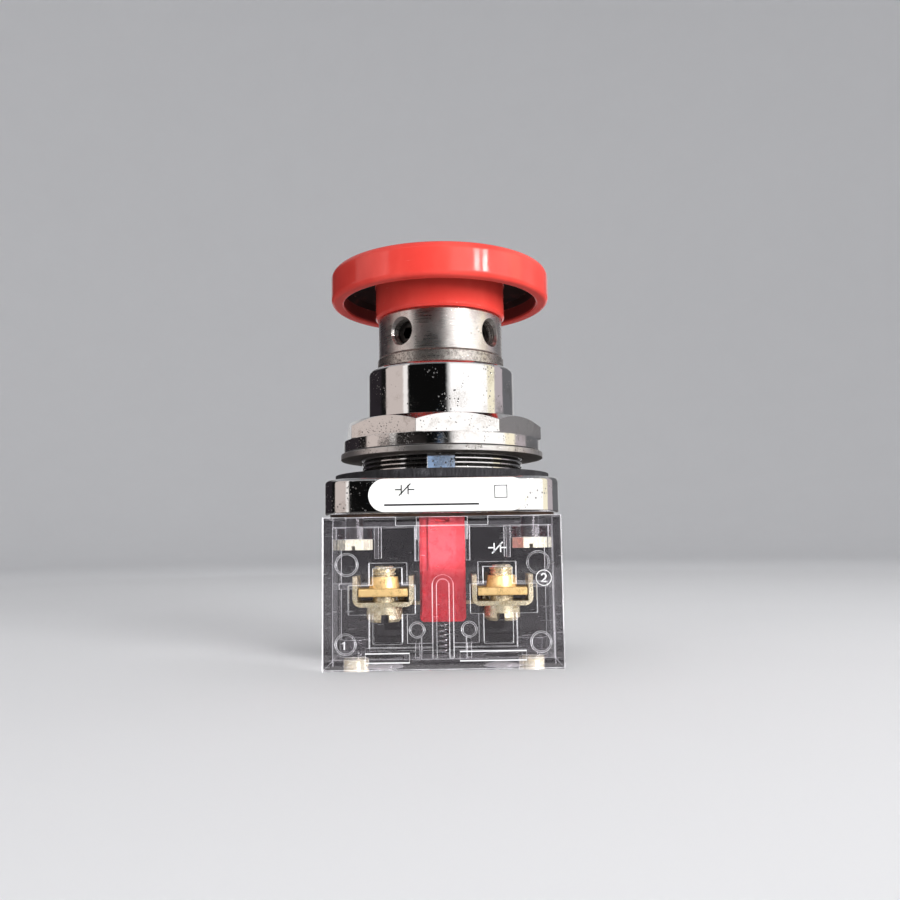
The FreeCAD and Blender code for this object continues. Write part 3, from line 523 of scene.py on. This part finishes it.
def stroke(bm, points, width, front, thick, closed=False):
    """A flat mark of constant width along points (x, z), standing thick proud of the plane y = front."""
    count = len(points)
    rows = []
    for i, (x, z) in enumerate(points):
        before = points[i - 1] if i or closed else points[i]
        after = points[(i + 1) % count] if i < count - 1 or closed else points[i]
        along = Vector((after[0] - before[0], after[1] - before[1])).normalized()
        side = Vector((-along.y, along.x)) * width / 2
        rows.append([bm.verts.new((x + s * side.x, y, z + s * side.y))
                     for s, y in ((-1, front), (-1, front - thick), (1, front - thick), (1, front))])
    pairs = list(zip(rows, rows[1:] + rows[:1])) if closed else list(zip(rows, rows[1:]))
    for a, b in pairs:
        for k in range(4):
            bm.faces.new((a[k], a[(k + 1) % 4], b[(k + 1) % 4], b[k]))
    if not closed:
        bm.faces.new(rows[0])
        bm.faces.new(list(reversed(rows[-1])))


def blank_frame(bm, x, z, half_wide, half_high, front, thick):
    """An empty rectangular frame centred at (x, z)."""
    corners = [(x + sx * half_wide, z + sz * half_high) for sx, sz in ((-1, -1), (1, -1), (1, 1), (-1, 1))]
    stroke(bm, corners, FRAME_LINE, front, thick, closed=True)


def arc(x, z, radius, start, end, steps):
    """Points on a circle round (x, z), from one angle to the other in degrees."""
    angles = [math.radians(start + (end - start) * i / steps) for i in range(steps + 1)]
    return [(x + radius * math.cos(a), z + radius * math.sin(a)) for a in angles]


def numeral_strokes(digit, x, z, height):
    """A plain 1 or 2, centred at (x, z)."""
    h, w = height / 2, height * 0.3
    if digit == "1":
        return [[(x - w * 0.8, z + h * 0.5), (x, z + h), (x, z - h)]]
    bowl = arc(x, z + h - w, w, 165, -35, 10)
    return [bowl + [(x - w, z - h), (x + w, z - h)]]


def contact_symbol(bm, x, z, size, width, front, thick):
    """The general circuit symbol of a normally closed contact."""
    for side in (-1, 1):
        plate = x + side * size * 0.35
        stroke(bm, [(x + side * size, z), (plate, z)], width, front, thick)
        stroke(bm, [(plate, z - size * 0.5), (plate, z + size * 0.5)], width, front, thick)
    stroke(bm, [(x - size * 0.6, z - size * 0.62), (x + size * 0.6, z + size * 0.62)], width, front, thick)


FRAME_LINE = 0.2 * MM

# Raised marks: two numerals, the second in a ring, the contact symbol, and two blank frames
MARK_THICK, MARK_LINE, RING_LINE = 0.10 * MM, 0.22 * MM, 0.12 * MM
NUMERAL_HIGH, RING_R, MARK_SYMBOL = 1.3 * MM, 1.25 * MM, 1.5 * MM
ONE_AT, TWO_AT, SYMBOL_AT = (-16.1 * MM, -28.8 * MM), (16.6 * MM, -18.3 * MM), (9.1 * MM, -13.3 * MM)
BLANKS = [(-9.1 * MM, -30.9 * MM, 3.6 * MM), (8.1 * MM, -30.7 * MM, 5.4 * MM)]    # x, z and half width
BLANK_HALF_HIGH = 0.75 * MM

cover_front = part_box("block_cover")[0].y
cover_marks = bmesh.new()
for digit, at in (("1", ONE_AT), ("2", TWO_AT)):
    for points in numeral_strokes(digit, *at, NUMERAL_HIGH):
        stroke(cover_marks, points, MARK_LINE, cover_front, MARK_THICK)
stroke(cover_marks, arc(*TWO_AT, RING_R, 0, 360, 40)[:-1], RING_LINE, cover_front, MARK_THICK, closed=True)
contact_symbol(cover_marks, *SYMBOL_AT, MARK_SYMBOL, MARK_LINE, cover_front, MARK_THICK)
for x, z, half_wide in BLANKS:
    blank_frame(cover_marks, x, z, half_wide, BLANK_HALF_HIGH, cover_front, MARK_THICK)
piece("cover_marks", cover_marks, FROSTED)

# Print: the contact symbol at the left, an empty box at the right, and a line below the symbol
PRINT_THICK, PRINT_LINE, UNDERLINE = 0.012 * MM, 0.2 * MM, 0.3 * MM
PRINT_SYMBOL, BOX_HALF = 1.6 * MM, 1.0 * MM

label_low, label_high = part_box("rating_label")
left, right, label_front = label_low.x, label_high.x, label_low.y
label_mid = (label_low.z + label_high.z) / 2
underline_z = label_mid - 1.6 * MM
print_marks = bmesh.new()
contact_symbol(print_marks, left + 6.0 * MM, label_mid + 0.9 * MM, PRINT_SYMBOL, PRINT_LINE, label_front,
               PRINT_THICK)
stroke(print_marks, [(left + 2.6 * MM, underline_z), (right - 8.0 * MM, underline_z)], UNDERLINE,
       label_front, PRINT_THICK)
blank_frame(print_marks, right - 4.4 * MM, label_mid + 0.4 * MM, BOX_HALF, BOX_HALF, label_front,
            PRINT_THICK)
piece("label_print", print_marks, INK)


# ---- stage ---------------------------------------------------------------------------------------
def revolve(name, profile, steps, material):
    """A smooth surface of revolution about Z from (radius, z) points."""
    bm = bmesh.new()
    rows = []
    for i in range(steps):
        a = 2 * math.pi * i / steps
        rows.append([bm.verts.new((r * math.sin(a), -r * math.cos(a), z)) for r, z in profile])
    for a, b in zip(rows, rows[1:] + rows[:1]):
        for k in range(len(profile) - 1):
            bm.faces.new((a[k], b[k], b[k + 1], a[k + 1]))
    bmesh.ops.remove_doubles(bm, verts=bm.verts, dist=1e-6)
    obj = mesh_object(name, bm, material)
    obj.data.shade_smooth()
    return obj


FLOOR_Z = cad_low.z - 0.02 * MM
FLOOR_R, SWEEP_R, WALL_TOP = 0.75, 0.45, 1.5
SWEEP_STEPS = 12
sweep = [(FLOOR_R + SWEEP_R * math.sin(a), FLOOR_Z + SWEEP_R * (1 - math.cos(a)))
         for a in (math.radians(90 * i / SWEEP_STEPS) for i in range(SWEEP_STEPS + 1))]
floor_surface = Surface("studio_floor", (0.76, 0.76, 0.77), 0.7)
floor_surface.colour(floor_surface.blend(floor_surface.noise(40, detail=2),
                                         (0.75, 0.75, 0.76), (0.77, 0.77, 0.78)))
floor = revolve("studio_floor", [(0.0, FLOOR_Z), *sweep, (FLOOR_R + SWEEP_R, WALL_TOP)], 96,
                floor_surface.mat)

# What the bright metal mirrors: a round screen, a bench and a few cards that only reflections see.
# Azimuth runs from -Y towards +X, in degrees.
SCREEN_R, SCREEN_TOP = 0.42, 0.34
SCREEN_BANDS = [            # each band's far azimuth, how softly it ends there, and its colour
    (-154, 4.0, (0.55, 0.55, 0.56)),
    (-105, 3.0, (0.024, 0.020, 0.024)),
    (-93, 0.7, (0.008, 0.008, 0.008)),
    (-59, 0.8, (0.62, 0.54, 0.51)),
    (-51, 0.8, (0.98, 0.94, 0.92)),
    (12, 4.0, (0.004, 0.004, 0.004)),
    (76, 1.0, (1.25, 1.23, 1.22)),
    (91, 1.0, (1.08, 1.00, 0.78)),
    (111, 0.8, (0.52, 0.46, 0.49)),
    (152, 4.0, (0.15, 0.15, 0.16)),
    (180, 0.0, (0.55, 0.55, 0.56)),
]
SKY = (0.42, 0.42, 0.43)    # above the bands
BENCH = (0.12, 0.116, 0.116)
BENCH_Z, SCREEN_FOOT = FLOOR_Z + 0.001, FLOOR_Z + 0.002
CARD_R = SCREEN_R - 0.02
CARDS = [                   # name, azimuths, heights, colour and strength
    ("reflected_blue", (-3.4, 1.1), (0.020, 0.0445), (0.32, 0.45, 0.68), 1.0),
    ("reflected_paper", (1.1, 3.3), (0.020, 0.0445), (0.90, 0.92, 0.95), 1.0),
    ("reflected_grey", (92.0, 114.0), (0.0535, 0.0695), (0.24, 0.235, 0.24), 1.0),
    ("reflected_shade", (-75.0, -16.0), (0.0365, 0.0480), (0.035, 0.030, 0.030), 1.0),
    ("reflected_window_1", (36.0, 40.7), (0.155, 0.168), (1.0, 0.99, 0.97), 40.0),
    ("reflected_window_2", (44.8, 49.5), (0.155, 0.168), (1.0, 0.99, 0.97), 40.0),
]


def emitting(name, colour, strength=1.0):
    """A material that only gives light. Its colour is three numbers, or a function that makes a node."""
    s = Surface(name, (0, 0, 0), 1.0, Specular_IOR_Level=0.0, Emission_Strength=strength)
    s.feed(colour(s) if callable(colour) else colour, s.shader.inputs["Emission Color"])
    s.mat.cycles.emission_sampling = "NONE"
    return s.mat


def screen_colour(s):
    """The bands by azimuth, which fade into the sky in the screen's upper half."""
    turn = s.math("ARCTAN2", s.axis("X"), s.math("MULTIPLY", s.axis("Y"), -1))
    ramp = s.add("ShaderNodeValToRGB")
    s.feed(s.math("ADD", s.math("DIVIDE", turn, 2 * math.pi), 0.5), ramp.inputs["Fac"])
    stops = ramp.color_ramp.elements
    stops[0].position, stops[0].color = 0.0, (*SCREEN_BANDS[0][2], 1)
    stops[1].position, stops[1].color = 1.0, (*SCREEN_BANDS[-1][2], 1)
    for (edge, softness, before), (_, _, after) in zip(SCREEN_BANDS, SCREEN_BANDS[1:]):
        for offset, colour in ((-softness, before), (softness, after)):
            stops.new((edge + offset + 180) / 360).color = (*colour, 1)
    return s.blend(s.ramp(s.axis("Z"), 0.5 * SCREEN_TOP, SCREEN_TOP), ramp.outputs["Color"], SKY)


def reflections_only(obj):
    obj.visible_camera = obj.visible_diffuse = obj.visible_transmission = False
    obj.visible_shadow = obj.visible_volume_scatter = False
    obj.visible_glossy = True


def reflected_card(name, azimuths, heights, colour, strength):
    """A small upright card in front of the screen, between two azimuths and two heights."""
    bm = bmesh.new()
    corners = [(azimuths[0], heights[0]), (azimuths[1], heights[0]),
               (azimuths[1], heights[1]), (azimuths[0], heights[1])]
    bm.faces.new([bm.verts.new((CARD_R * math.sin(math.radians(a)), -CARD_R * math.cos(math.radians(a)), z))
                  for a, z in corners])
    obj = mesh_object(name, bm, emitting(name, colour, strength))
    reflections_only(obj)


reflections_only(revolve("reflected_bench", [(0.0, BENCH_Z), (SCREEN_R, BENCH_Z)], 96,
                         emitting("reflected_bench", BENCH)))
reflections_only(revolve("reflected_screen", [(SCREEN_R, SCREEN_FOOT), (SCREEN_R, SCREEN_TOP)], 180,
                         emitting("reflected_screen", screen_colour)))
for card in CARDS:
    reflected_card(*card)


def receivers(name, objects):
    """A collection of the only objects that a light is to reach."""
    collection = bpy.data.collections.new(name)
    for obj in objects:
        collection.objects.link(obj)
    return collection


def soft_light(name, place, size, watts, target=(0, 0, 0.01), only=None, mirrored=False):
    """A square area light that faces target. Given only, it lights just that collection.
    The metal doesn't mirror the light's own shape unless it is mirrored."""
    light = bpy.data.lights.new(name, "AREA")
    light.size, light.energy = size, watts
    obj = add_object(name, light)
    obj.location = place
    obj.rotation_mode = "QUATERNION"
    obj.rotation_quaternion = (Vector(place) - Vector(target)).to_track_quat("Z", "Y")
    obj.visible_glossy = mirrored
    if only:
        obj.light_linking.receiver_collection = only


soft_light("key_light", (0.32, -0.38, 0.09), 0.24, 3.4)
soft_light("fill_light", (-0.42, -0.30, 0.14), 0.40, 0.2)
soft_light("top_light", (0.05, 0.12, 0.60), 0.50, 0.8)
soft_light("backdrop_light", (0.0, -0.2, 1.3), 1.2, 4.5, (0, 0.3, 0), receivers("backdrop", [floor]))

BLOCK_MIDDLE = (0, -0.012, -0.02)
CONTACT_METAL = ("mounting_screws", "tandem_inserts", "fixed_contact_left", "fixed_contact_right",
                 "saddle_clamp_left", "saddle_clamp_right", "terminal_screw_left", "terminal_screw_right")
contact_metal = receivers("contact_metal", [*(nodes[name] for name in CONTACT_METAL), spring])
soft_light("contact_light_right", (0.16, -0.30, 0.05), 0.16, 0.17, BLOCK_MIDDLE, contact_metal, mirrored=True)
soft_light("contact_light_left", (-0.10, -0.32, 0.08), 0.10, 0.16, BLOCK_MIDDLE, contact_metal, mirrored=True)

world = bpy.data.worlds.new("studio_air")
world.use_nodes = True
world.node_tree.nodes["Background"].inputs["Color"].default_value = (0.93, 0.95, 1.0, 1)
world.node_tree.nodes["Background"].inputs["Strength"].default_value = 0.28
bpy.context.scene.world = world
bpy.context.scene.view_settings.view_transform = "Standard"

# The camera looks at the terminal side from 160 mm, a little from below.
CAMERA_AT = Vector((1.55, -160.3, -12.0)) * MM
CAMERA_TILT = math.radians(6.05)
CAMERA_ROLL = math.radians(0.84)
LENS, SENSOR = 34.09, 36.0
CLIP_START, CLIP_END = 0.005, 10.0
camera_data = bpy.data.cameras.new("camera")
camera_data.lens, camera_data.sensor_width = LENS, SENSOR
camera_data.clip_start, camera_data.clip_end = CLIP_START, CLIP_END
camera = add_object("camera", camera_data)
facing = Matrix.Rotation(math.pi / 2 + CAMERA_TILT, 4, "X")
camera.matrix_world = Matrix.Translation(CAMERA_AT) @ facing @ Matrix.Rotation(-CAMERA_ROLL, 4, "Z")
bpy.context.scene.camera = camera
